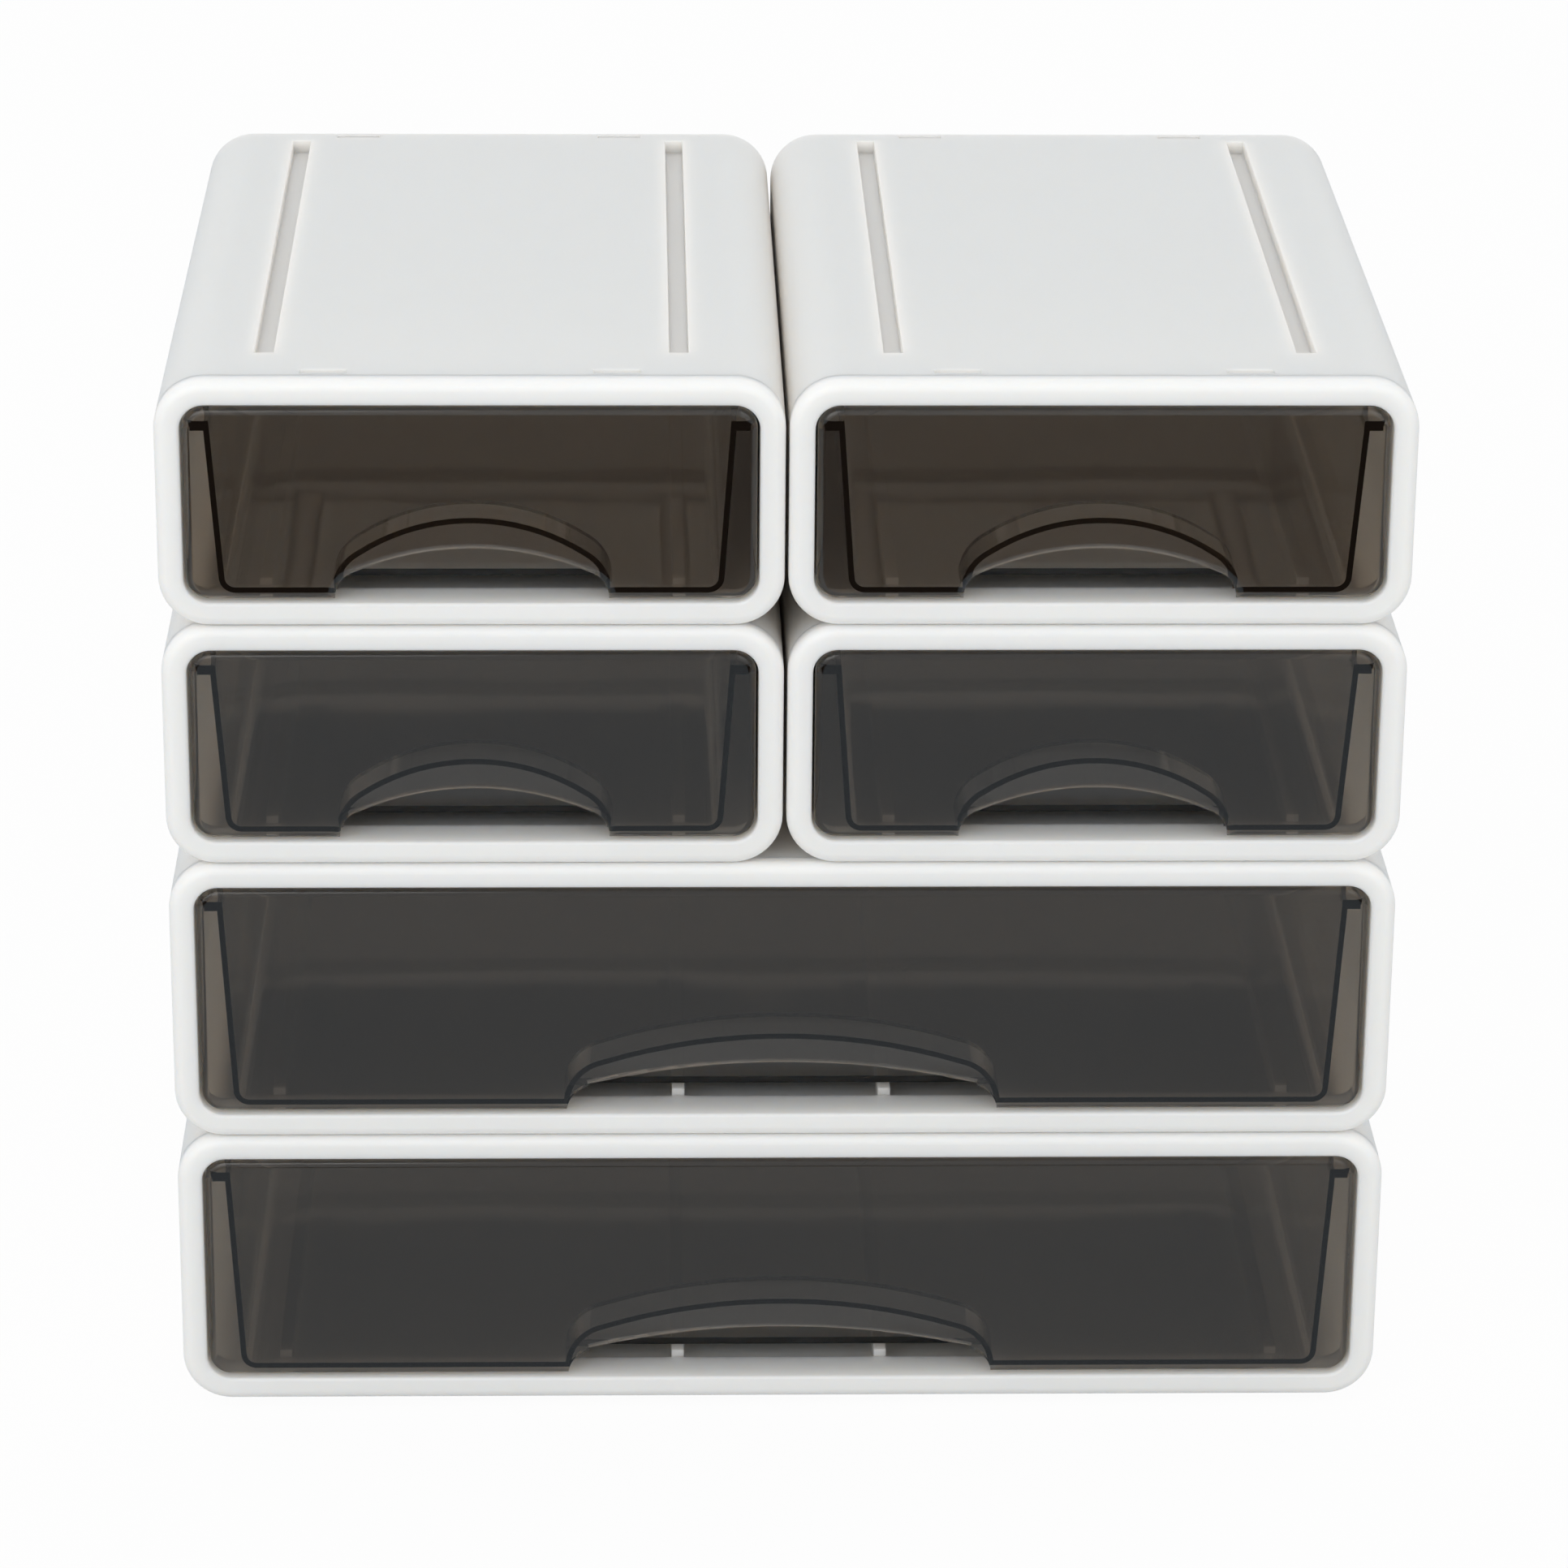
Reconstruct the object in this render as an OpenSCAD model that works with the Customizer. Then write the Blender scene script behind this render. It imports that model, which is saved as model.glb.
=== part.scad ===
// Desk drawer organizer: stackable moulded modules, two full-width ones below and four half-width
// ones above. Each module is a white sleeve closed by a back panel, a white front frame and a smoked
// drawer with an arched finger pull. Millimetres, +Z up, the drawers open towards -Y.
// Every piece is drawn facing up: X across the front, Y up the front, Z out of the front towards the
// user, with the front plane at Z = 0. stand() then turns the piece upright in its place.

/* [Stack] */
// Width of a half-width module
small_w = 172; // [150:1:220]
// Height of a half-width module
small_h = 71; // [62:1:95]
// Height of a full-width module
wide_h = 84; // [66:1:110]
// Depth of every module from front to back
depth = 245; // [225:1:300]
// Gap between two modules that stand side by side
side_gap = 1; // [0.6:0.1:2]

/* [Sleeve] */
// Wall of the sleeve
wall = 2.4; // [2:0.1:3]
// Outer corner radius of a module, seen from the front
corner_r = 14; // [12:0.5:17]
// Width of a stacking groove in the top
groove_w = 5.3; // [4.6:0.1:6.5]
// Depth of a stacking groove
groove_d = 4; // [3:0.1:4.6]
// Wall under and beside a stacking groove
groove_wall = 1.8; // [1.4:0.1:2.4]
// From the side of a half-width module to the middle of its groove
groove_inset = 29; // [24:0.5:36]
// From the front plane to the start of a groove
groove_front = 26; // [22:0.5:34]
// Wall between the end of a groove and the back panel
groove_end = 1.8; // [1.4:0.1:12]
// Play between a stacking rib and each flank of its groove
rib_play = 0.45; // [0.3:0.05:0.8]
// Play between a stacking rib and each end of its groove
rib_end_play = 4; // [1:0.5:8]
// Play between a stacking rib and the floor of its groove
rib_float = 0.5; // [0.3:0.1:1]
// Width of a runner that carries the drawer
runner_w = 3.6; // [2.5:0.1:5]

/* [Front frame] */
// Width of the frame's border round the drawer opening
border = 7; // [5.5:0.5:8.5]
// How far the frame stands in front of the sleeve
band = 6; // [4.5:0.5:8]
// Depth of the ledge inside the opening, from the front plane
ledge = 13; // [11.5:0.5:18]
// Rounding of the frame's outer front edge
frame_round = 3; // [1.5:0.1:4]
// Rounding of the opening's front edge
mouth_round = 0.9; // [0.5:0.1:1.5]

/* [Snap fits] */
// From the side of a module to the middle of a snap tab
snap_inset = 46; // [42:0.5:60]
// Width of a snap tab
snap_w = 12.4; // [8:0.1:18]
// Length of a snap tab along the depth
snap_len = 2.4; // [1.8:0.1:3]
// How far a snap tab stays below the sleeve's outer face
snap_sink = 0.4; // [0.2:0.1:0.8]
// Play round a snap tab in its window, and round a piece that plugs into the sleeve
plug_play = 0.2; // [0.1:0.05:0.3]

/* [Back panel] */
// Thickness of the back panel and of its rim
back_t = 2; // [1.5:0.1:2.5]
// How far the back panel lies in from the back of the sleeve
back_inset = 4; // [3:0.5:7]

/* [Drawer] */
// Gap between the drawer's front and the frame's opening
panel_gap = 0.7; // [0.4:0.1:1.2]
// How far the drawer's front lies behind the front plane
panel_recess = 0.8; // [0.3:0.1:2]
// Thickness of the drawer's front
panel_t = 3; // [2.6:0.1:4]
// Width of the rounded edge round the drawer's front and its arch
panel_round = 2.1; // [1.2:0.1:2.4]
// Walls and floor of the tub
tub_wall = 1.6; // [1.2:0.1:2.2]
// From the edge of the drawer's front to the tub's side at its rim
tub_inset = 5.6; // [5:0.1:8]
// How much further in the tub's sides and rear stand at its floor
tub_draft = 3.6; // [2:0.1:5]
// Outer radius of the tub's rear corners at its rim
tub_corner = 12; // [10:0.5:20]
// Outer radius along the bottom edges of the tub
tub_round = 4.5; // [3:0.1:6]
// From the top edge of the drawer's front down to the tub's rim
tub_drop = 4.4; // [3.5:0.1:8]
// From the bottom edge of the drawer's front up to the tub's underside
tub_lift = 1.5; // [1:0.1:2]
// How far the rim stands out from the tub's sides and rear
rim_out = 3.5; // [2:0.1:4]
// Thickness of the rim
rim_t = 2.8; // [2:0.1:4]
// Gap between the closed drawer and the back panel
drawer_back_gap = 3; // [1:0.5:6]
// Running gap between the tub and its runners
run_gap = 0.2; // [0.15:0.05:0.4]

/* [Drawer stop] */
// How far a drawer pulls out before its lugs meet the frame
travel = 170; // [120:1:190]
// Width of a stop lug
lug_w = 11; // [6:0.5:14]
// Length of a stop lug along the depth
lug_len = 4; // [2.5:0.5:8]
// How far a stop lug hangs below the tub
lug_h = 5; // [4:0.1:6]
// Gap that is left between a lug and the frame at full travel
stop_gap = 0.3; // [0.2:0.1:0.5]

/* [Finger pull] */
// Width of the arch in a half-width drawer
small_pull_w = 75.2; // [60:0.2:90]
// Width of the arch in a full-width drawer
wide_pull_w = 122.4; // [100:0.2:160]
// Height of the arch above the bottom edge of the drawer's front
pull_h = 14.4; // [11:0.1:17]
// Radius of the arch at its two feet
pull_foot_r = 8; // [6:0.5:10]
// Depth of the finger recess behind the drawer's front
recess_d = 13; // [10:0.5:20]
// Height of the finger recess's hood above the tub's underside
recess_h = 21.8; // [19:0.1:26]
// Radius of the recess's hood at its two feet
recess_foot_r = 14; // [11:0.5:16]
// How far the recess's hood stands outside the arch at its feet
recess_out = 0.9; // [0.4:0.1:3]

/* [Hidden] */
$fn = 96;
PIECES = ["sleeve", "back_panel", "front_frame", "drawer"];
// Name, columns it spans, side of the middle (-1 left, 0 both, 1 right) and height of its underside
MODULES = [
    ["wide_lower", 2, 0, 0],
    ["wide_upper", 2, 0, wide_h],
    ["left_lower", 1, -1, 2 * wide_h],
    ["right_lower", 1, 1, 2 * wide_h],
    ["left_upper", 1, -1, 2 * wide_h + small_h],
    ["right_upper", 1, 1, 2 * wide_h + small_h],
];

white = "#e8e8e8";
smoke = "#4a423c";

// Overlap where two shapes of one piece are joined, and reach of a cut past a face
weld = 0.4;
past = 2;
// How far the feet of an arch swell past its crown, angle by which their edge runs on under it, and
// hair's breadth by which a round is drawn in: curves then cross cleanly where they would only touch
foot_swell = 0.05;
foot_turn = 15;
hair = 0.01;

// Stack: spacing of the columns and of the grooves, which every module shares
pitch = small_w + side_gap;
groove_x = small_w / 2 - groove_inset;
rib_h = groove_d - rib_float;
rib_w = groove_w - 2 * rib_play;
function module_w(columns) = columns * small_w + (columns - 1) * side_gap;
function module_h(columns) = columns == 1 ? small_h : wide_h;
function column_xs(columns) = columns == 1 ? [0] : [-pitch / 2, pitch / 2];
function groove_xs(columns) = [for (c = column_xs(columns), s = [-1, 1]) c + s * groove_x];
function snap_xs(columns) = [for (s = [-1, 1]) s * (module_w(columns) / 2 - snap_inset)];

// Depths, negative behind the front plane
sleeve_front_z = -band;
sleeve_back_z = -depth;
ledge_z = -ledge;
back_z = sleeve_back_z + back_inset;
runner_back_z = back_z + back_t;
groove_back_z = runner_back_z + groove_end;
panel_front_z = -panel_recess;
panel_back_z = panel_front_z - panel_t;
tub_back_z = runner_back_z + drawer_back_gap + rim_out;
lug_z = ledge_z - stop_gap - travel;

// Heights above a module's underside
panel_y = border + panel_gap;
tub_y = panel_y + tub_lift;
runner_y = tub_y - run_gap;

// Drawer front and tub, half-widths where they are named so
function panel_w(columns) = module_w(columns) - 2 * panel_y;
function panel_h(columns) = module_h(columns) - 2 * panel_y;
function tub_half(columns) = panel_w(columns) / 2 - tub_inset - tub_draft;
function tub_h(columns) = panel_h(columns) - tub_drop - tub_lift;
function pull_half(columns) = (columns == 1 ? small_pull_w : wide_pull_w) / 2;
panel_r = corner_r - panel_y;
opening_r = corner_r - border;

// Turns a piece of module m upright and sets it in its place, with the lowest ribs on Z = 0
module stand(m)
    translate([m[2] * pitch / 2, -depth / 2, rib_h + m[3]]) rotate([90, 0, 0]) children();

// Prism of a front-view outline between two depths
module between(z0, z1)
    translate([0, 0, z0]) linear_extrude(z1 - z0) children();

// Rounded rectangle standing on Y = 0, centred on X = 0
module rounded_rect(w, h, r)
    translate([0, h / 2]) {
        square([w - 2 * r, h], center = true);
        square([w, h - 2 * r], center = true);
        for (x = [-1, 1], y = [-1, 1])
            translate([x * (w / 2 - r), y * (h / 2 - r)]) circle(r);
    }

// Sweeps a section round a rounded rectangle that stands on Y = 0. The section's X runs outwards
// from the corner centres and its Y out of the front
module round_sweep(w, h, r)
    translate([0, h / 2, 0])
        for (i = [0 : 3]) {
            reach = i % 2 == 0 ? [w / 2 - r, h / 2 - r] : [h / 2 - r, w / 2 - r];
            rotate(90 * i) translate([reach[0], reach[1], 0]) {
                rotate_extrude(angle = 90) children();
                rotate([90, 0, 0]) linear_extrude(2 * reach[1]) children();
            }
        }

// Three-centred arch of half-width a and height b that leaves its feet with radius r:
// crown radius, and angle at which foot and crown arcs meet
function crown_r(a, b, r) = ((a - r) ^ 2 + b ^ 2 - r ^ 2) / (2 * (b - r));
function crown_angle(a, b, r) = atan2(crown_r(a, b, r) - b, a - r);

// Pie slice of a circle from angle t0 to angle t1, less than half a turn apart
module pie(r, t0, t1) {
    mid = (t0 + t1) / 2;
    reach = 2 * r / cos((t1 - t0) / 2);
    intersection() {
        circle(r);
        polygon([[0, 0], for (t = [t0, mid, t1]) reach * [cos(t), sin(t)]]);
    }
}

// Filled arch on Y = 0, with a straight foot of the given length below it
module arch(a, b, r, foot = 0) {
    t = crown_angle(a, b, r);
    big = crown_r(a, b, r);
    intersection() {
        union() {
            translate([0, b - big]) pie(big, t, 180 - t);
            for (x = [r - a, a - r]) translate([x, 0]) circle(r + foot_swell);
        }
        translate([-2 * a, 0]) square([4 * a, 2 * b]);
    }
    if (foot > 0) translate([-a - foot_swell, -foot]) square([2 * (a + foot_swell), foot]);
}

// Sweeps a section along the arch's line. The section's X is measured outwards from that line
module arch_sweep(a, b, r) {
    t = crown_angle(a, b, r);
    big = crown_r(a, b, r);
    translate([0, b - big, 0])
        rotate(t) rotate_extrude(angle = 180 - 2 * t) translate([big, 0]) children();
    for (s = [0, 1])
        mirror([s, 0, 0]) translate([a - r, 0, 0])
            rotate_extrude(angle = t + foot_turn) translate([r + foot_swell, 0]) children();
}

// Snap tab on an outer face at Y = 0, with a ramp that leads it in towards +Z or -Z
module snap_tab(lead) {
    top = wall + plug_play - snap_sink;
    translate([-snap_w / 2, 0, 0]) rotate([90, 0, 90]) linear_extrude(snap_w)
        polygon([
            [-weld, -lead * snap_len / 2],
            [top, -lead * snap_len / 2],
            [top, 0],
            [plug_play, lead * snap_len / 2],
            [-weld, lead * snap_len / 2],
        ]);
}

// Places children at the snap tabs' spots, with Y pointing out of the top and of the bottom face of
// a piece that plugs into the sleeve
module at_snaps(columns)
    for (x = snap_xs(columns), s = [0, 1])
        translate([x, module_h(columns) / 2, 0]) mirror([0, s, 0])
            translate([0, module_h(columns) / 2 - wall - plug_play, 0]) children();

// Depth of the middle of the front frame's and of the back panel's snap tabs
front_snap_z = (sleeve_front_z + ledge_z) / 2;
back_snap_z = (sleeve_back_z + runner_back_z) / 2;

// Inside of the sleeve, drawn in by some play
module inside(columns, play = 0) {
    gap = wall + play;
    translate([0, gap])
        rounded_rect(module_w(columns) - 2 * gap, module_h(columns) - 2 * gap, corner_r - gap);
}

module sleeve(columns) {
    w = module_w(columns);
    h = module_h(columns);
    groove_len = -groove_front - groove_back_z;
    channel_w = groove_w + 2 * groove_wall;
    channel_len = groove_len + groove_end + groove_wall;
    color(white) difference() {
        union() {
            between(sleeve_back_z, sleeve_front_z) difference() {
                rounded_rect(w, h, corner_r);
                inside(columns);
            }
            for (x = groove_xs(columns)) {
                // Channel that carries a groove inside the top
                translate([x - channel_w / 2, h - groove_d - groove_wall, runner_back_z])
                    cube([channel_w, groove_d + groove_wall - wall / 2, channel_len]);
                // Stacking rib under the floor
                translate([x - rib_w / 2, -rib_h, groove_back_z + rib_end_play])
                    cube([rib_w, rib_h + wall / 2, groove_len - 2 * rib_end_play]);
                // Runner on the floor, from the frame's ledge to the back panel
                translate([x - runner_w / 2, wall / 2, runner_back_z])
                    cube([runner_w, runner_y - wall / 2, ledge_z - plug_play - runner_back_z]);
            }
        }
        for (x = groove_xs(columns))
            translate([x - groove_w / 2, h - groove_d, groove_back_z])
                cube([groove_w, groove_d + past, groove_len]);
        for (z = [front_snap_z, back_snap_z])
            translate([0, 0, z]) at_snaps(columns)
                translate([-snap_w / 2 - plug_play, 0, -snap_len / 2 - plug_play])
                    cube([snap_w + 2 * plug_play, wall + plug_play + past, snap_len + 2 * plug_play]);
    }
}

module back_panel(columns)
    color(white) {
        between(back_z, back_z + back_t) inside(columns, plug_play);
        between(sleeve_back_z, back_z + weld) difference() {
            inside(columns, plug_play);
            inside(columns, plug_play + back_t);
        }
        translate([0, 0, back_snap_z]) at_snaps(columns) snap_tab(1);
    }

// Section of the frame's band: X from the corner centres, Y out of the front
module band_section()
    difference() {
        union() {
            translate([opening_r, -band]) square([border - frame_round, band]);
            translate([opening_r, -band]) square([border, band - frame_round]);
            translate([corner_r - frame_round, -frame_round]) circle(frame_round);
        }
        translate([opening_r, 0]) difference() {
            square(2 * mouth_round, center = true);
            translate([mouth_round, -mouth_round]) circle(mouth_round);
        }
    }

module front_frame(columns) {
    w = module_w(columns);
    h = module_h(columns);
    color(white) {
        round_sweep(w, h, corner_r) band_section();
        between(ledge_z, sleeve_front_z + weld) difference() {
            inside(columns, plug_play);
            translate([0, border]) rounded_rect(w - 2 * border, h - 2 * border, opening_r);
        }
        translate([0, 0, front_snap_z]) at_snaps(columns) snap_tab(-1);
    }
}

// Rounded front edge of width panel_round. Its arc is a little flatter than a quarter circle, which
// leaves a fine line where it meets the flats. Its centre lies edge_c in from both flats
edge_flatness = 1.12;
edge_r = edge_flatness * panel_round;
edge_c = panel_round / 2 + sqrt(edge_r ^ 2 - panel_round ^ 2 / 2) / sqrt(2);

// Strip with the rounded edge outside, as wide as the corner radius
module edge_section()
    intersection() {
        translate([0, -panel_t]) square([panel_r, panel_t]);
        union() {
            translate([0, -panel_t]) square([panel_r - edge_c, panel_t + past]);
            translate([0, -panel_t]) square([panel_r + past, panel_t - edge_c]);
            translate([panel_r - edge_c, -edge_c]) circle(edge_r);
        }
    }

// What the rounding takes off the front edge of the arch
module arch_edge_cut()
    difference() {
        translate([-past, -edge_c]) square(past + edge_c);
        translate([edge_c, -edge_c]) circle(edge_r);
    }

// Drawer front without its arch
module panel(columns) {
    w = panel_w(columns);
    h = panel_h(columns);
    translate([0, panel_y, panel_front_z]) {
        round_sweep(w, h, panel_r) edge_section();
        translate([0, h / 2, -panel_t / 2])
            cube([w - 2 * panel_r, h - 2 * panel_r, panel_t], center = true);
    }
}

// Section of the tub from a corner's centre outwards, drawn in by t from its outside
module tub_section(columns, t) {
    lean = atan2(tub_draft, tub_h(columns));
    r = tub_round - t;
    foot = tub_corner - tub_draft - t / cos(lean) + t * tan(lean);
    centre_x = foot - r / tan((90 + lean) / 2);
    tangent = [centre_x + r * cos(lean), r - r * sin(lean)];
    top_h = tub_fill_h(columns, t);
    translate([0, t]) {
        polygon([[0, 0], [centre_x, 0], tangent, [foot + top_h * tan(lean), top_h], [0, top_h]]);
        intersection() {
            translate([centre_x, r]) circle(r - hair);
            square(tub_corner);
        }
    }
}

// Height of the tub's outside, or of its inside reaching past the rim
function tub_fill_h(columns, t) = tub_h(columns) - t + (t > 0 ? past : 0);

// Tub drawn in by t and filled, from its rounded rear to a given depth
module tub_solid(columns, t, front_z) {
    x = tub_half(columns) + tub_draft - tub_corner;
    z = tub_back_z + tub_corner;
    for (s = [0, 1])
        mirror([s, 0, 0]) translate([x, 0, z]) {
            rotate([-90, 0, 0]) rotate_extrude(angle = 90) tub_section(columns, t);
            linear_extrude(front_z - z) tub_section(columns, t);
        }
    translate([-x, 0, z]) {
        rotate([0, 90, 0]) linear_extrude(2 * x) tub_section(columns, t);
        translate([0, t, 0]) cube([2 * x, tub_fill_h(columns, t), front_z - z]);
    }
}

// Outline of the tub's rim seen from above, from its rear at Y = 0 to the given length
module rim_outline(columns, len) {
    r = tub_corner + rim_out;
    half = tub_half(columns) + tub_draft + rim_out;
    translate([-half, r]) square([2 * half, len - r]);
    translate([r - half, 0]) square([2 * (half - r), len]);
    for (x = [r - half, half - r]) translate([x, r]) circle(r);
}

// Tub with its rim, without the finger recess
module tub(columns) {
    front_z = panel_back_z + weld;
    rim_back_z = tub_back_z - rim_out;
    translate([0, tub_y, 0]) difference() {
        union() {
            tub_solid(columns, 0, front_z);
            translate([0, tub_h(columns), rim_back_z]) rotate([90, 0, 0])
                linear_extrude(rim_t) rim_outline(columns, front_z - rim_back_z);
        }
        tub_solid(columns, tub_wall, panel_back_z);
    }
}

// Stop lugs under the tub, beside the outermost runners
module stop_lugs(columns) {
    runner_x = max(groove_xs(columns)) - runner_w / 2;
    for (s = [0, 1])
        mirror([s, 0, 0]) translate([runner_x - run_gap - lug_w, tub_y - lug_h, lug_z - lug_len])
            cube([lug_w, lug_h + weld, lug_len]);
}

module drawer(columns) {
    half = pull_half(columns);
    hood = half + recess_out;
    recess_z = panel_back_z - recess_d;
    color(smoke) difference() {
        union() {
            panel(columns);
            tub(columns);
            stop_lugs(columns);
            // Hood over the finger recess
            translate([0, tub_y, 0]) between(recess_z - tub_wall, panel_back_z + weld)
                arch(hood, recess_h, recess_foot_r);
        }
        // Finger recess under the hood, the arch in the front and the arch's rounded edge
        translate([0, tub_y, 0]) between(recess_z, panel_back_z)
            arch(hood - tub_wall, recess_h - tub_wall, recess_foot_r - tub_wall, past);
        translate([0, panel_y, 0]) between(panel_back_z - past, past)
            arch(half, pull_h, pull_foot_r, past);
        translate([0, panel_y, panel_front_z])
            arch_sweep(half, pull_h, pull_foot_r) arch_edge_cut();
    }
}

for (m = MODULES) {
    stand(m) sleeve(m[1]);
    stand(m) back_panel(m[1]);
    stand(m) front_frame(m[1]);
    stand(m) drawer(m[1]);
}
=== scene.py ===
"""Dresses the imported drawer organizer: moulded white casings, smoked drawers and a plain studio stage."""
import math

import bmesh
import bpy
from mathutils import Euler, Matrix, Vector


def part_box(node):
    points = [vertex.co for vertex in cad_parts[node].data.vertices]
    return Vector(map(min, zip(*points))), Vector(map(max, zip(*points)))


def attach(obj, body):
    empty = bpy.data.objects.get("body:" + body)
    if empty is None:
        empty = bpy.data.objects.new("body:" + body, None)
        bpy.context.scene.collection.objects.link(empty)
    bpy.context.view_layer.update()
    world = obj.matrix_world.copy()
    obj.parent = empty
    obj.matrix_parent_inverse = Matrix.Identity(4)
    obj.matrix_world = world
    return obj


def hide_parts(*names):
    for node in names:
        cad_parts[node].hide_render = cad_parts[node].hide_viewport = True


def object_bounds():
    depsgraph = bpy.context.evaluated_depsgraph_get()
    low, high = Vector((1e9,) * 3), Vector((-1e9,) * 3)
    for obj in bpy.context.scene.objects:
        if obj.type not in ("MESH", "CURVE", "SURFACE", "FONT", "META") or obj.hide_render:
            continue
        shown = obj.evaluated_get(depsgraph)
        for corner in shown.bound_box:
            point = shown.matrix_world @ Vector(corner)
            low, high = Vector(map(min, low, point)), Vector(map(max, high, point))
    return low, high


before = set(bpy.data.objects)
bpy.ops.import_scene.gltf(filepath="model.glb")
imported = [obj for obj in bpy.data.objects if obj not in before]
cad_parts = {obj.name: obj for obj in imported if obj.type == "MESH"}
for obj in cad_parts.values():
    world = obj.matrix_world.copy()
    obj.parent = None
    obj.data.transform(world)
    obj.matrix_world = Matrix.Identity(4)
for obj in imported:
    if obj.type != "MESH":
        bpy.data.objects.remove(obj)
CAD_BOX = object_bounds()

bl_info = {
    "name": "Stackable drawer organizer",
    "version": (1, 0, 0),
    "blender": (4, 5, 0),
    "location": "3D View > Sidebar > Organizer",
    "description": "Builds the pieces of a stack of desk drawers and its studio stage",
    "category": "Object",
}

MM = 0.001
HAIR = 0.01 * MM
# Least upright part of the normal of a face that counts as level
LEVEL = 0.9
# Steps of the rounded corners and edges, and the angle from which an edge gets the mould's small rounding
CORNER_STEPS, FRAME_STEPS, MOUTH_STEPS, MOULD_STEPS = 12, 8, 4, 2
MOULD_ANGLE = math.radians(40)
MODULES = sorted({name.rsplit("_drawer", 1)[0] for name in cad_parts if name.endswith("_drawer")})


def linear(hex_colour):
    """Linear red, green and blue of an sRGB hex value."""
    parts = [int(hex_colour[i:i + 2], 16) / 255 for i in (1, 3, 5)]
    return [c / 12.92 if c <= 0.04045 else ((c + 0.055) / 1.055) ** 2.4 for c in parts]


def per_mm(size_mm):
    """Scale of a noise whose features are about this many millimetres across."""
    return 1 / (size_mm * MM)


def length(name, description, millimetres):
    """Length that a user can change, in metres, from its size in millimetres."""
    return bpy.props.FloatProperty(name=name, description=description, unit="LENGTH", precision=4,
                                   default=millimetres * MM, min=0)


class OrganizerSizes(bpy.types.PropertyGroup):
    wall: length("Wall", "Wall of the sleeve", 2.4)
    corner: length("Corner", "Outer corner radius of a module, seen from the front", 14)
    groove_width: length("Groove width", "Width of a stacking groove in the top", 5.3)
    groove_depth: length("Groove depth", "Depth of a stacking groove", 4)
    groove_wall: length("Groove wall", "Wall under, beside and behind a stacking groove", 1.8)
    groove_inset: length("Groove inset", "From a module's side to the middle of its groove", 29)
    groove_front: length("Groove start", "From the front plane to the start of a groove", 26)
    rib_width: length("Rib width", "Width of a stacking rib under the floor", 4.4)
    rib_height: length("Rib height", "Height of a stacking rib", 3.5)
    rib_end_play: length("Rib end play", "Play between a stacking rib and each end of its groove", 4)
    runner_width: length("Runner width", "Width of a runner that carries the drawer", 3.6)
    runner_top: length("Runner top", "Height of the runners above the module's underside", 9)
    border: length("Border", "Width of the front frame round the drawer opening", 7)
    band: length("Band", "How far the front frame stands in front of the sleeve", 6)
    ledge: length("Ledge", "Depth of the front frame inside the opening", 13)
    frame_round: length("Frame edge", "Rounding of the front frame's outer edge", 3)
    mouth_round: length("Mouth edge", "Rounding of the opening's front edge", 0.9)
    snap_inset: length("Snap inset", "From a module's side to the middle of a snap tab", 46)
    snap_width: length("Snap width", "Width of a snap tab", 12.4)
    snap_length: length("Snap length", "Length of a snap tab along the depth", 2.4)
    snap_sink: length("Snap sink", "How far a snap tab stays below the sleeve's outer face", 0.4)
    plug_play: length("Plug play", "Play round a snap tab and round a piece that plugs into the sleeve", 0.2)
    back: length("Back", "Thickness of the back panel and of its rim", 2)
    back_inset: length("Back inset", "How far the back panel lies in from the back of the sleeve", 4)
    mould_edge: length("Mould edge", "Small rounding that the mould leaves on the other edges", 0.3)


class OrganizerFinish(bpy.types.PropertyGroup):
    thin_white: bpy.props.FloatVectorProperty(
        name="Thin white", description="Colour of the sleeves and back panels", subtype="COLOR",
        default=linear("#fdf6ee"))
    solid_white: bpy.props.FloatVectorProperty(
        name="Solid white", description="Colour of the front frames", subtype="COLOR",
        default=linear("#fbf8f4"))
    white_roughness: bpy.props.FloatProperty(
        name="Casing roughness", description="Roughness of the satin casing", subtype="FACTOR",
        default=0.4, min=0, max=1)
    thin_depth: length("Thin white depth", "How far light wanders in the thin casings", 8)
    solid_depth: length("Solid white depth", "How far light wanders in the thick front frames", 6)
    smoke: bpy.props.FloatVectorProperty(
        name="Smoke", description="What the smoked plastic lets through, besides its density",
        subtype="COLOR", default=linear("#897045"))
    smoke_density: bpy.props.FloatProperty(
        name="Smoke density", description="Absorption of the smoked plastic per metre",
        default=228, min=0)
    smoke_roughness: bpy.props.FloatProperty(
        name="Drawer roughness", description="Roughness of the polished drawer", subtype="FACTOR",
        default=0.04, min=0, max=1)


class OrganizerStage(bpy.types.PropertyGroup):
    camera_place: bpy.props.FloatVectorProperty(
        name="Camera", description="Place of the camera", subtype="TRANSLATION", unit="LENGTH",
        default=(-0.04275, -1.6725, 0.82219))
    camera_turn: bpy.props.FloatVectorProperty(
        name="Camera turn", description="Pitch below the horizon, roll and yaw of the camera",
        subtype="EULER", default=(0.38385, 0.00882, -0.02739))
    lens: bpy.props.FloatProperty(
        name="Lens", description="Focal length on a sensor 36 mm wide", subtype="DISTANCE_CAMERA",
        default=137.9)
    # The dark room is a painted reflection: a card that only the upper drawers' gloss sees
    table_reach: bpy.props.FloatProperty(
        name="Table reach", description="How far the pale table runs in front of the stack before the "
        "dark room that the upper drawers mirror", unit="LENGTH", default=0.617)


def add(tree, kind, values=None, links=None, **attributes):
    """Adds a node, sets its attributes and input values and links its inputs."""
    node = tree.nodes.new(kind)
    for name, value in attributes.items():
        setattr(node, name, value)
    for socket, value in (values or {}).items():
        node.inputs[socket].default_value = value
    for socket, source in (links or {}).items():
        tree.links.new(source, node.inputs[socket])
    return node


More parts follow.
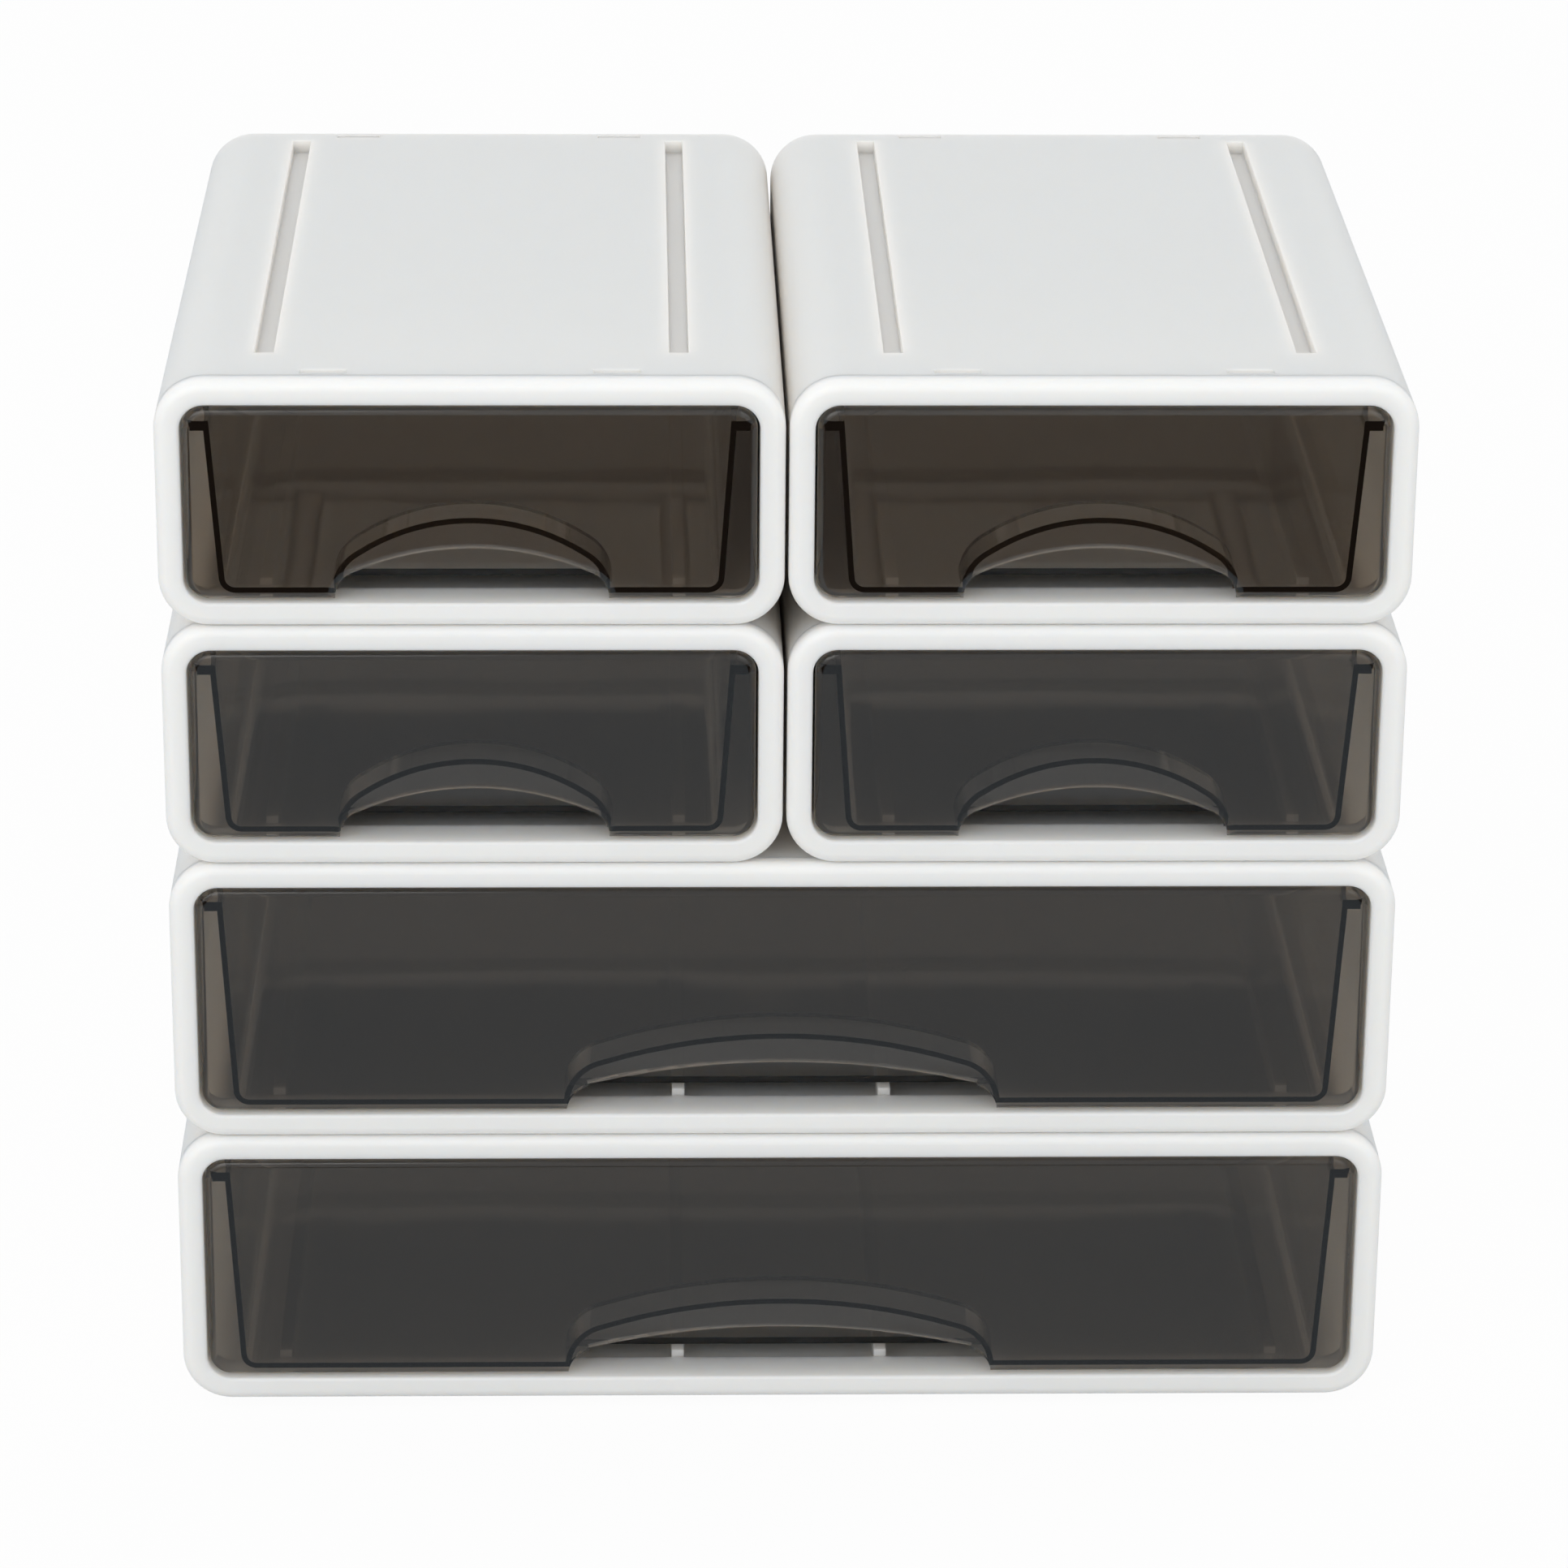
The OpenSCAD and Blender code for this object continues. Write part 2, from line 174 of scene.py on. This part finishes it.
def new_tree(owner):
    """Empty node tree of a material or a world."""
    owner.use_nodes = True
    owner.node_tree.nodes.clear()
    return owner.node_tree


# White ABS: sizes of its drift of tone, its patches of sheen and its grain, which is 0.3 mm on the real
# mould and is drawn coarser so that it shows
ABS_DRIFT_MM, ABS_SHEEN_MM, ABS_GRAIN_MM = 90, 22, 0.7
ABS_GRAIN_HEIGHT, ABS_GRAIN_STRENGTH = 0.03 * MM, 0.12
ABS_SHADE, ABS_SHEEN_SPREAD = 0.97, 0.04
ABS_IOR = 1.52
# Red light wanders furthest in it, so a thin wall lets warm light through
ABS_REACH = (1.0, 0.9, 0.8)


def moulded_abs(name, white, depth, roughness):
    """Moulded ABS from a finely eroded mould: an even white with a soft, wide sheen."""
    material = bpy.data.materials.new(f"moulded ABS, {name}")
    tree = new_tree(material)
    coords = add(tree, "ShaderNodeTexCoord").outputs["Object"]
    drift = add(tree, "ShaderNodeTexNoise", {"Scale": per_mm(ABS_DRIFT_MM), "Detail": 2.0}, {"Vector": coords})
    sheen = add(tree, "ShaderNodeTexNoise", {"Scale": per_mm(ABS_SHEEN_MM), "Detail": 3.0}, {"Vector": coords})
    grain = add(tree, "ShaderNodeTexNoise", {"Scale": per_mm(ABS_GRAIN_MM), "Detail": 2.0}, {"Vector": coords})
    colour = add(tree, "ShaderNodeMix", {6: (*white, 1), 7: (*[ABS_SHADE * c for c in white], 1)},
                 {0: drift.outputs["Fac"]}, data_type="RGBA")
    rough = add(tree, "ShaderNodeMapRange",
                {"To Min": roughness - ABS_SHEEN_SPREAD, "To Max": roughness + ABS_SHEEN_SPREAD},
                {"Value": sheen.outputs["Fac"]})
    bump = add(tree, "ShaderNodeBump", {"Strength": ABS_GRAIN_STRENGTH, "Distance": ABS_GRAIN_HEIGHT},
               {"Height": grain.outputs["Fac"]})
    shader = add(tree, "ShaderNodeBsdfPrincipled",
                 {"IOR": ABS_IOR, "Subsurface Weight": 1.0, "Subsurface Radius": ABS_REACH,
                  "Subsurface Scale": depth},
                 {"Base Color": colour.outputs[2], "Roughness": rough.outputs["Result"],
                  "Normal": bump.outputs["Normal"]})
    add(tree, "ShaderNodeOutputMaterial", links={"Surface": shader.outputs["BSDF"]})
    return material


# Smoked acrylic: sizes of its patches of sheen and of the slow waves that keep a moulded panel from being flat
ACRYLIC_SHEEN_MM, ACRYLIC_WAVE_MM = 30, 70
ACRYLIC_WAVE_HEIGHT, ACRYLIC_WAVE_STRENGTH = 0.6 * MM, 0.4
ACRYLIC_SHEEN_RANGE = (0.7, 1.3)
ACRYLIC_IOR = 1.49
# What a face of the front and of the tub lets through to lamps and bounced light, and how far behind the
# stack's front one gives way to the other. The tub's low share is painted shade inside the drawers, whose
# plastic looks the same to the eye
FRONT_PASS, TUB_SHADE_PASS = 0.95, 0.36
FRONT_ENDS, TUB_STARTS = 13 * MM, 15 * MM


def smoked_acrylic(finish):
    """Smoked acrylic from a polished mould: clear, brown-black where it is thick, with sharp gloss."""
    material = bpy.data.materials.new("moulded acrylic, smoked clear")
    tree = new_tree(material)
    coords = add(tree, "ShaderNodeTexCoord").outputs["Object"]
    sheen = add(tree, "ShaderNodeTexNoise", {"Scale": per_mm(ACRYLIC_SHEEN_MM), "Detail": 3.0},
                {"Vector": coords})
    wave = add(tree, "ShaderNodeTexNoise", {"Scale": per_mm(ACRYLIC_WAVE_MM), "Detail": 1.0},
               {"Vector": coords})
    smoothest, dullest = (finish.smoke_roughness * share for share in ACRYLIC_SHEEN_RANGE)
    rough = add(tree, "ShaderNodeMapRange", {"To Min": smoothest, "To Max": dullest},
                {"Value": sheen.outputs["Fac"]})
    bump = add(tree, "ShaderNodeBump", {"Strength": ACRYLIC_WAVE_STRENGTH, "Distance": ACRYLIC_WAVE_HEIGHT},
               {"Height": wave.outputs["Fac"]})
    shader = add(tree, "ShaderNodeBsdfPrincipled",
                 {"Base Color": (1, 1, 1, 1), "IOR": ACRYLIC_IOR, "Transmission Weight": 1.0},
                 {"Roughness": rough.outputs["Result"], "Normal": bump.outputs["Normal"]})
    # Light goes straight through to the casing behind, without the bend that the eye sees, and less of it
    # through the tub, which paints shade inside the drawers
    path = add(tree, "ShaderNodeLightPath").outputs
    passing = add(tree, "ShaderNodeMath", links={0: path["Is Shadow Ray"], 1: path["Is Diffuse Ray"]},
                  operation="MAXIMUM")
    place = add(tree, "ShaderNodeSeparateXYZ", links={0: coords})
    front = CAD_BOX[0].y
    clear = add(tree, "ShaderNodeMapRange",
                {"From Min": front + FRONT_ENDS, "From Max": front + TUB_STARTS,
                 "To Min": FRONT_PASS, "To Max": TUB_SHADE_PASS}, {"Value": place.outputs["Y"]})
    through = add(tree, "ShaderNodeBsdfTransparent", links={"Color": clear.outputs["Result"]})
    surface = add(tree, "ShaderNodeMixShader", links={0: passing.outputs[0], 1: shader.outputs["BSDF"],
                                                      2: through.outputs["BSDF"]})
    inside = add(tree, "ShaderNodeVolumeAbsorption",
                 {"Color": (*finish.smoke, 1), "Density": finish.smoke_density})
    add(tree, "ShaderNodeOutputMaterial",
        links={"Surface": surface.outputs[0], "Volume": inside.outputs["Volume"]})
    return material


def thin_white(finish):
    """White ABS of the thin casings, which glow a little with the light behind them."""
    return moulded_abs("thin satin white", finish.thin_white, finish.thin_depth, finish.white_roughness)


def solid_white(finish):
    """White ABS of the thick front frames, which look solid."""
    return moulded_abs("solid satin white", finish.solid_white, finish.solid_depth, finish.white_roughness)


def finish_material(make, finish):
    """The material that a function makes, made once."""
    key = "organizer_" + make.__name__
    for material in bpy.data.materials:
        if material.get("finish") == key:
            return material
    material = make(finish)
    material["finish"] = key
    return material


def dress(node, material):
    """Gives a CAD node's own mesh a finish."""
    node.data.materials.clear()
    node.data.materials.append(material)


class Module:
    """Width, height and place of a module, read from the frame.

    Its own x runs from its middle, y from its front and z from below.
    """

    def __init__(self, name, sizes):
        self.name, self.sizes = name, sizes
        low, high = (Vector(corner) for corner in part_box(f"{name}_front_frame"))
        self.width, self.height = high.x - low.x, high.z - low.z
        self.place = Vector(((low.x + high.x) / 2, low.y, low.z))
        self.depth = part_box(f"{name}_sleeve")[1][1] - low.y
        # Full-width modules carry the grooves of both columns
        outer = self.width / 2 - sizes.groove_inset
        inner = sizes.groove_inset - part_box("left_upper_sleeve")[1][0]
        self.grooves = [-outer, outer] if self.place.x else [-outer, -inner, inner, outer]
        self.snaps = [sign * (self.width / 2 - sizes.snap_inset) for sign in (-1, 1)]
        self.back_front = self.depth - sizes.back_inset - sizes.back
        self.front_snap = (sizes.band + sizes.ledge) / 2
        self.back_snap = (self.depth + self.back_front) / 2


def some(made, kind):
    """The vertices, edges or faces among what an operator made."""
    return [item for item in made["geom"] if isinstance(item, kind)]


def outline(bm, module, inset, depth):
    """Face of a module's rounded outline, drawn in by an inset, at a depth behind the front."""
    matrix = (Matrix.Translation((0, depth, module.height / 2)) @ Matrix.Rotation(math.pi / 2, 4, "X")
              @ Matrix.Diagonal((module.width - 2 * inset, module.height - 2 * inset, 1, 1)))
    corners = bmesh.ops.create_grid(bm, x_segments=1, y_segments=1, size=0.5, matrix=matrix)["verts"]
    made = bmesh.ops.bevel(bm, geom=corners, offset=module.sizes.corner - inset, offset_type="OFFSET",
                           segments=CORNER_STEPS, profile=0.5, affect="VERTICES", material=-1)
    return made["verts"][0].link_faces[0]


def sweep(bm, module, section, closed=True):
    """Sweeps a section of (inset, depth) points round a module's outline.

    Gives the loop of edges of each later point.
    """
    (inset, depth), *rest = section
    face = outline(bm, module, inset, depth)
    loop = list(face.edges)
    if closed:
        bmesh.ops.delete(bm, geom=[face], context="FACES_ONLY")
        rest.append(section[0])
    radius, loops = module.sizes.corner, []
    for next_inset, next_depth in rest:
        made = bmesh.ops.extrude_edge_only(bm, edges=loop)
        verts, loop = some(made, bmesh.types.BMVert), some(made, bmesh.types.BMEdge)
        bmesh.ops.translate(bm, vec=(0, next_depth - depth, 0), verts=verts)
        draw = (radius - next_inset) / (radius - inset)
        for right in (-1, 1):
            for top in (-1, 1):
                centre = Vector((right * (module.width / 2 - radius), 0,
                                 module.height / 2 + top * (module.height / 2 - radius)))
                corner = [v for v in verts
                          if v.co.x * right > 0 and (v.co.z - module.height / 2) * top > 0]
                bmesh.ops.scale(bm, vec=(draw, 1, draw), space=Matrix.Translation(-centre), verts=corner)
        loops.append(loop)
        inset, depth = next_inset, next_depth
    if not closed:
        bmesh.ops.edgeloop_fill(bm, edges=loop)
    bmesh.ops.remove_doubles(bm, verts=bm.verts, dist=HAIR)
    bmesh.ops.recalc_face_normals(bm, faces=bm.faces)
    return [[edge for edge in each if edge.is_valid] for each in loops]


def cut(bm, axis, *places):
    """Cuts edges right round a piece across an axis."""
    for place in places:
        bmesh.ops.bisect_plane(bm, geom=bm.verts[:] + bm.edges[:] + bm.faces[:], dist=HAIR / 10,
                               plane_co=[place * (i == axis) for i in range(3)],
                               plane_no=[float(i == axis) for i in range(3)])


def patch(bm, spot, height):
    """Level faces at a height inside a spot of (x, half width, y from, y to)."""
    x, half, near, far = spot
    found = []
    for face in bm.faces:
        middle = face.calc_center_median()
        if (abs(middle.z - height) < HAIR and abs(face.normal.z) > LEVEL and abs(middle.x - x) < half
                and near < middle.y < far):
            found.append(face)
    if not found:
        raise RuntimeError(f"no face at {spot}, height {height}")
    return found


def push(bm, spot, height, reach):
    """Pushes a spot of a level face up or down."""
    faces = patch(bm, spot, height)
    verts = some(bmesh.ops.extrude_face_region(bm, geom=faces), bmesh.types.BMVert)
    bmesh.ops.translate(bm, vec=(0, 0, reach), verts=verts)
    bmesh.ops.delete(bm, geom=faces, context="FACES")
    return verts


def window(bm, spot, outside, inside):
    """Opens a window between the two faces of a wall."""
    rims = []
    for height in (outside, inside):
        faces = set(patch(bm, spot, height))
        edges = {edge for face in faces for edge in face.edges}
        rims += [edge for edge in edges if len(faces & set(edge.link_faces)) == 1]
        bmesh.ops.delete(bm, geom=list(faces), context="FACES")
    bmesh.ops.bridge_loops(bm, edges=rims)


def snap_tabs(bm, module, depth, lead):
    """Snap tabs on the top and bottom of a plugged-in piece, with a ramp on the side that leads in."""
    sizes = module.sizes
    gap, half = sizes.wall + sizes.plug_play, sizes.snap_length / 2
    rise = gap - sizes.snap_sink
    for x in module.snaps:
        cut(bm, 0, x - sizes.snap_width / 2, x + sizes.snap_width / 2)
    cut(bm, 1, depth - half, depth, depth + half)
    for x in module.snaps:
        spot = (x, sizes.snap_width / 2, depth - half, depth + half)
        for height, up in ((gap, -1), (module.height - gap, 1)):
            for vert in push(bm, spot, height, up * rise):
                if (vert.co.y - depth) * lead > half / 2:
                    vert.co.z -= up * (rise - sizes.plug_play)


def finish_piece(bm, module, node, material):
    """Puts a moulded piece in place of its CAD node, with small rounded edges, on the module's casing."""
    bmesh.ops.recalc_face_normals(bm, faces=bm.faces)
    bmesh.ops.translate(bm, vec=module.place, verts=bm.verts)
    for face in bm.faces:
        face.smooth = True
    name = f"{module.name}_{node}"
    mesh = bpy.data.meshes.new(f"{name}_moulding")
    bm.to_mesh(mesh)
    bm.free()
    mesh.materials.append(material)
    piece = bpy.data.objects.new(f"{name}_moulding", mesh)
    bpy.context.scene.collection.objects.link(piece)
    edges = piece.modifiers.new("mould edges", "BEVEL")
    edges.width, edges.segments, edges.limit_method = module.sizes.mould_edge, MOULD_STEPS, "ANGLE"
    edges.angle_limit, edges.harden_normals = MOULD_ANGLE, True
    piece.modifiers.new("flat faces", "WEIGHTED_NORMAL").keep_sharp = True
    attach(piece, f"{module.name}_case")
    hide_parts(name)


def make_sleeve(module):
    """Rounded tube with grooves on top, ribs underneath, runners inside and windows for the snap tabs."""
    sizes, height = module.sizes, module.height
    bm = bmesh.new()
    sweep(bm, module, [(0, sizes.band), (0, module.depth),
                       (sizes.wall, module.depth), (sizes.wall, sizes.band)])
    groove_back = module.back_front - sizes.groove_wall
    channel_front = sizes.groove_front - sizes.groove_wall
    rib = (sizes.groove_front + sizes.rib_end_play, groove_back - sizes.rib_end_play)
    runner_front = sizes.ledge + sizes.plug_play
    groove, channel = sizes.groove_width / 2, sizes.groove_width / 2 + sizes.groove_wall
    pane = (sizes.snap_width / 2 + sizes.plug_play, sizes.snap_length / 2 + sizes.plug_play)
    for x in module.grooves:
        for half in (groove, channel, sizes.rib_width / 2, sizes.runner_width / 2):
            cut(bm, 0, x - half, x + half)
    cut(bm, 1, sizes.groove_front, groove_back, channel_front, module.back_front, *rib, runner_front)
    for x in module.snaps:
        cut(bm, 0, x - pane[0], x + pane[0])
    for depth in (module.front_snap, module.back_snap):
        cut(bm, 1, depth - pane[1], depth + pane[1])
    ceiling = height - sizes.wall
    for x in module.grooves:
        push(bm, (x, channel, channel_front, module.back_front), ceiling,
             sizes.wall - sizes.groove_depth - sizes.groove_wall)
        push(bm, (x, groove, sizes.groove_front, groove_back), height, -sizes.groove_depth)
        push(bm, (x, sizes.rib_width / 2, *rib), 0, -sizes.rib_height)
        push(bm, (x, sizes.runner_width / 2, runner_front, module.back_front), sizes.wall,
             sizes.runner_top - sizes.wall)
    for x in module.snaps:
        for depth in (module.front_snap, module.back_snap):
            spot = (x, pane[0], depth - pane[1], depth + pane[1])
            window(bm, spot, height, ceiling)
            window(bm, spot, 0, sizes.wall)
    return bm


def make_back_panel(module):
    """Dished panel that plugs into the sleeve's back and snaps into its windows."""
    sizes = module.sizes
    bm = bmesh.new()
    gap, floor = sizes.wall + sizes.plug_play, module.back_front + sizes.back
    sweep(bm, module, [(gap, module.back_front), (gap, module.depth), (gap + sizes.back, module.depth),
                       (gap + sizes.back, floor)], closed=False)
    snap_tabs(bm, module, module.back_snap, -1)
    return bm


def make_front_frame(module):
    """Ring round the drawer opening, rounded in front, that plugs and snaps into the sleeve."""
    sizes = module.sizes
    bm = bmesh.new()
    gap = sizes.wall + sizes.plug_play
    front, mouth = sweep(bm, module, [(0, sizes.band), (0, 0), (sizes.border, 0),
                                      (sizes.border, sizes.ledge), (gap, sizes.ledge), (gap, sizes.band)])[:2]
    for loop, offset, steps in ((front, sizes.frame_round, FRAME_STEPS),
                                (mouth, sizes.mouth_round, MOUTH_STEPS)):
        bmesh.ops.bevel(bm, geom=loop, offset=offset, offset_type="OFFSET", segments=steps, profile=0.5,
                        affect="EDGES", material=-1)
    snap_tabs(bm, module, module.front_snap, 1)
    return bm


def build_each(context, node, make, finish):
    """Builds one kind of white piece for every module."""
    white = finish_material(finish, context.scene.organizer_finish)
    for name in MODULES:
        module = Module(name, context.scene.organizer_sizes)
        finish_piece(make(module), module, node, white)


class ORGANIZER_OT_sleeves(bpy.types.Operator):
    """Makes the white sleeves"""
    bl_idname = "organizer.sleeves"
    bl_label = "Sleeves"

    def execute(self, context):
        build_each(context, "sleeve", make_sleeve, thin_white)
        return {"FINISHED"}


class ORGANIZER_OT_back_panels(bpy.types.Operator):
    """Makes the white back panels"""
    bl_idname = "organizer.back_panels"
    bl_label = "Back panels"

    def execute(self, context):
        build_each(context, "back_panel", make_back_panel, thin_white)
        return {"FINISHED"}


class ORGANIZER_OT_front_frames(bpy.types.Operator):
    """Makes the white front frames"""
    bl_idname = "organizer.front_frames"
    bl_label = "Front frames"

    def execute(self, context):
        build_each(context, "front_frame", make_front_frame, solid_white)
        return {"FINISHED"}


class ORGANIZER_OT_drawers(bpy.types.Operator):
    """Makes the smoked drawers"""
    bl_idname = "organizer.drawers"
    bl_label = "Drawers"

    def execute(self, context):
        smoke = finish_material(smoked_acrylic, context.scene.organizer_finish)
        for name in MODULES:
            dress(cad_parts[f"{name}_drawer"], smoke)
        return {"FINISHED"}


def stage_plane(name, x0, x1, y0, y1, z):
    """Flat stage piece between two corners."""
    bm = bmesh.new()
    bmesh.ops.create_grid(bm, x_segments=1, y_segments=1, size=0.5)
    bmesh.ops.scale(bm, vec=(x1 - x0, y1 - y0, 1), verts=bm.verts)
    bmesh.ops.translate(bm, vec=((x0 + x1) / 2, (y0 + y1) / 2, z), verts=bm.verts)
    mesh = bpy.data.meshes.new(name)
    bm.to_mesh(mesh)
    bm.free()
    piece = bpy.data.objects.new(name, mesh)
    bpy.context.scene.collection.objects.link(piece)
    return piece


def seen(tree):
    """One for rays that show the background: seen, mirrored or through clear plastic."""
    path = add(tree, "ShaderNodeLightPath").outputs
    direct = add(tree, "ShaderNodeMath", links={0: path["Is Camera Ray"], 1: path["Is Glossy Ray"]},
                 operation="MAXIMUM")
    return add(tree, "ShaderNodeMath", links={0: direct.outputs[0], 1: path["Is Transmission Ray"]},
               operation="MAXIMUM").outputs[0]


def mirrored(tree):
    """One for rays that a gloss sends back, and not for those that pass through clear plastic."""
    path = add(tree, "ShaderNodeLightPath").outputs
    return add(tree, "ShaderNodeMath", links={0: path["Is Glossy Ray"], 1: path["Is Transmission Ray"]},
               operation="SUBTRACT", use_clamp=True).outputs[0]


# Studio: half sides of the floor and of the card that paints a dim room's reflection, the card's height above
# the floor in metres, the world's level as light, and how near to full white the seen floor is
FLOOR_HALF, ROOM_HALF, ROOM_LIFT = 4, 3, 2 * MM
SKY_LEVEL, FLOOR_LIFT = 0.8, 0.96
# Lightest and darkest tone of the papers, and the size of their tooth
PAPER, PAPER_TOOTH_MM = ("#e4e4e4", "#dfdfdf"), 3
CARD, CARD_TOOTH_MM = ("#7a675a", "#6e5d51"), 40
# Painted reflection: the floor shows the drawers' gloss a cooler, dimmer white than the eye sees
PAINTED_MIRROR_WHITE = "#d2dae1"
# Place, width, height and watts of each lamp
LAMPS = {"key softbox": ((-1.5, -2.5, 2.2), 2.6, 2.0, 26),
         "fill softbox": ((1.8, -2.4, 2.1), 2.2, 1.8, 10)}
SENSOR_MM = 36


def matt_surface(tree, tones, tooth_mm):
    """Matt, slightly uneven surface of a paper or card."""
    coords = add(tree, "ShaderNodeTexCoord").outputs["Object"]
    tooth = add(tree, "ShaderNodeTexNoise", {"Scale": per_mm(tooth_mm)}, {"Vector": coords})
    light, dark = ((*linear(tone), 1) for tone in tones)
    shade = add(tree, "ShaderNodeMix", {6: light, 7: dark}, {0: tooth.outputs["Fac"]}, data_type="RGBA")
    return add(tree, "ShaderNodeBsdfDiffuse", links={"Color": shade.outputs[2]}).outputs[0]


def floor_paper():
    """Matt white paper that shows almost full white, with the object's shadow kept, and with a painted cooler
    white reflection for the drawers' gloss.
    """
    material = bpy.data.materials.new("matt white paper")
    tree = new_tree(material)
    paper = matt_surface(tree, PAPER, PAPER_TOOTH_MM)
    white = add(tree, "ShaderNodeEmission", {"Strength": 1.0}).outputs[0]
    lift = add(tree, "ShaderNodeMath", {1: FLOOR_LIFT}, {0: seen(tree)}, operation="MULTIPLY").outputs[0]
    bright = add(tree, "ShaderNodeMixShader", links={0: lift, 1: paper, 2: white}).outputs[0]
    # Painted reflection: glossy rays see a cool, dim white glow in place of the paper
    painted_cool_reflection = add(tree, "ShaderNodeEmission", {"Color": (*linear(PAINTED_MIRROR_WHITE), 1)}).outputs[0]
    both = add(tree, "ShaderNodeMixShader", links={0: mirrored(tree), 1: bright, 2: painted_cool_reflection}).outputs[0]
    add(tree, "ShaderNodeOutputMaterial", links={"Surface": both})
    return material


def painted_reflection_card():
    """Matt brown card, clear to all but mirrored rays: a painted reflection of a dim room beyond the table."""
    material = bpy.data.materials.new("matt brown card")
    tree = new_tree(material)
    card = matt_surface(tree, CARD, CARD_TOOTH_MM)
    clear = add(tree, "ShaderNodeBsdfTransparent").outputs[0]
    both = add(tree, "ShaderNodeMixShader", links={0: mirrored(tree), 1: clear, 2: card}).outputs[0]
    add(tree, "ShaderNodeOutputMaterial", links={"Surface": both})
    return material


def studio_world():
    """White studio: full white where it is seen or mirrored, and a softer level as light."""
    world = bpy.data.worlds.new("studio")
    tree = new_tree(world)
    level = add(tree, "ShaderNodeMapRange", {"To Min": SKY_LEVEL, "To Max": 1.0}, {"Value": seen(tree)})
    light = add(tree, "ShaderNodeBackground", {"Color": (1, 1, 1, 1)},
                {"Strength": level.outputs["Result"]})
    add(tree, "ShaderNodeOutputWorld", links={"Surface": light.outputs[0]})
    bpy.context.scene.world = world


def softbox(name, place, target, width, height, watts):
    """Large soft lamp that faces a point."""
    lamp = bpy.data.lights.new(name, "AREA")
    lamp.shape, lamp.size, lamp.size_y, lamp.energy = "RECTANGLE", width, height, watts
    holder = bpy.data.objects.new(name, lamp)
    holder.location = place
    holder.rotation_euler = (Vector(target) - Vector(place)).to_track_quat("-Z", "Y").to_euler()
    bpy.context.scene.collection.objects.link(holder)


class ORGANIZER_OT_stage(bpy.types.Operator):
    """Makes the floor, the studio light and the camera"""
    bl_idname = "organizer.stage"
    bl_label = "Stage"

    def execute(self, context):
        stage = context.scene.organizer_stage
        front = CAD_BOX[0].y
        floor = stage_plane("floor", -FLOOR_HALF, FLOOR_HALF, -FLOOR_HALF, FLOOR_HALF, 0)
        floor.data.materials.append(floor_paper())
        # Painted reflection: a card for the dim room beyond the table shows only in the drawers' gloss
        card = stage_plane("painted_room_reflection", -ROOM_HALF, ROOM_HALF, front - ROOM_HALF, front - stage.table_reach,
                           ROOM_LIFT)
        card.data.materials.append(painted_reflection_card())
        for flag in ("camera", "diffuse", "transmission", "volume_scatter", "shadow"):
            setattr(card, f"visible_{flag}", False)
        studio_world()
        middle = (CAD_BOX[0] + CAD_BOX[1]) / 2
        for name, (place, width, height, watts) in LAMPS.items():
            softbox(name, place, middle, width, height, watts)
        data = bpy.data.cameras.new("camera")
        data.sensor_width, data.lens = SENSOR_MM, stage.lens
        camera = bpy.data.objects.new("camera", data)
        pitch, roll, yaw = stage.camera_turn
        camera.location = stage.camera_place
        turn, tilt, lean = (Euler(angles).to_matrix()
                            for angles in ((0, 0, yaw), (math.pi / 2 - pitch, 0, 0), (0, 0, roll)))
        camera.rotation_euler = (turn @ tilt @ lean).to_euler()
        context.scene.collection.objects.link(camera)
        context.scene.camera = camera
        context.scene.view_settings.view_transform = "Standard"
        return {"FINISHED"}


class ORGANIZER_PT_build(bpy.types.Panel):
    """Lists the steps that build the organizer"""
    bl_idname = "ORGANIZER_PT_build"
    bl_label = "Drawer organizer"
    bl_space_type = "VIEW_3D"
    bl_region_type = "UI"
    bl_category = "Organizer"

    def draw(self, context):
        for group in GROUPS:
            settings = getattr(context.scene, group)
            for name in settings.__annotations__:
                self.layout.prop(settings, name)
        for step in STEPS:
            self.layout.operator(step.bl_idname)


GROUPS = {"organizer_sizes": OrganizerSizes, "organizer_finish": OrganizerFinish,
          "organizer_stage": OrganizerStage}
STEPS = (ORGANIZER_OT_sleeves, ORGANIZER_OT_back_panels, ORGANIZER_OT_front_frames,
         ORGANIZER_OT_drawers, ORGANIZER_OT_stage)
CLASSES = (*GROUPS.values(), *STEPS, ORGANIZER_PT_build)


def register():
    for cls in CLASSES:
        bpy.utils.register_class(cls)
    for name, group in GROUPS.items():
        setattr(bpy.types.Scene, name, bpy.props.PointerProperty(type=group))


def unregister():
    for name in GROUPS:
        delattr(bpy.types.Scene, name)
    for cls in reversed(CLASSES):
        bpy.utils.unregister_class(cls)


def main():
    register()
    for step in STEPS:
        group, name = step.bl_idname.split(".")
        getattr(getattr(bpy.ops, group), name)()


if __name__ == "__main__":
    main()
